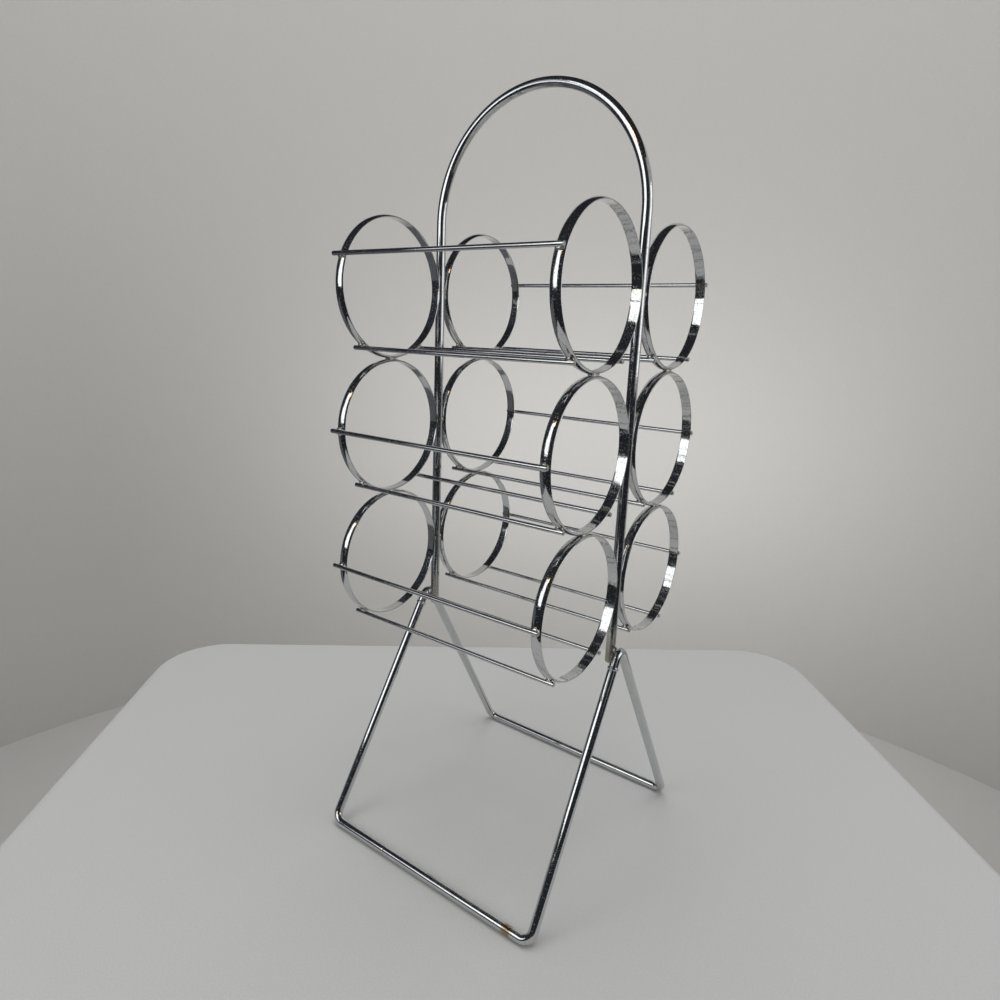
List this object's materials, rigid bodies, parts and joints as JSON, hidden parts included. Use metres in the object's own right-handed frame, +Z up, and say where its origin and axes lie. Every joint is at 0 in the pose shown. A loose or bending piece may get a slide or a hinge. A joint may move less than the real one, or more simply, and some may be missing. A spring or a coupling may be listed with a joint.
{
  "type": "bottle rack",
  "caption": "Free-standing chrome wire rack: coaxial pairs of rings with cradle rods hold bottles lying flat, on an arched carrying hoop and an A-shaped wire base.",
  "frame": {"origin": "on the floor, at the middle of the rack", "axes": "+X along the bottles towards the front, +Y towards the right-hand column, +Z up"},
  "size_m": [0.198, 0.215, 0.5575],
  "materials": {
    "frame_chrome": "bright chrome plate on 7 mm steel rod, lightly pitted, brown heat tint at bends",
    "ring_chrome": "bright chrome plate on half-oval steel strip, speckled inside",
    "rod_chrome": "bright chrome plate on 3.2 mm steel rod",
    "weld_metal": "plated weld puddles, brown in the creases"
  },
  "bodies": {
    "root": {"hoop": "frame_chrome", "base": "frame_chrome", "base_butt_welds": "weld_metal", "hoop_foot_welds": "weld_metal", "upright_welds": "weld_metal", "ring_stack_welds": "weld_metal", "rod_welds_left": "weld_metal", "rod_welds_right": "weld_metal", "ring_front_left_bottom": "ring_chrome", "ring_front_left_middle": "ring_chrome", "ring_front_left_top": "ring_chrome", "ring_front_right_bottom": "ring_chrome", "ring_front_right_middle": "ring_chrome", "ring_front_right_top": "ring_chrome", "ring_rear_left_bottom": "ring_chrome", "ring_rear_left_middle": "ring_chrome", "ring_rear_left_top": "ring_chrome", "ring_rear_right_bottom": "ring_chrome", "ring_rear_right_middle": "ring_chrome", "ring_rear_right_top": "ring_chrome", "rod_left_bottom_side": "rod_chrome", "rod_left_bottom_outer": "rod_chrome", "rod_left_bottom_inner": "rod_chrome", "rod_left_middle_side": "rod_chrome", "rod_left_middle_outer": "rod_chrome", "rod_left_middle_inner": "rod_chrome", "rod_left_top_side": "rod_chrome", "rod_left_top_outer": "rod_chrome", "rod_left_top_inner": "rod_chrome", "rod_right_bottom_side": "rod_chrome", "rod_right_bottom_outer": "rod_chrome", "rod_right_bottom_inner": "rod_chrome", "rod_right_middle_side": "rod_chrome", "rod_right_middle_outer": "rod_chrome", "rod_right_middle_inner": "rod_chrome", "rod_right_top_side": "rod_chrome", "rod_right_top_outer": "rod_chrome", "rod_right_top_inner": "rod_chrome"}
  },
  "joints": []
}
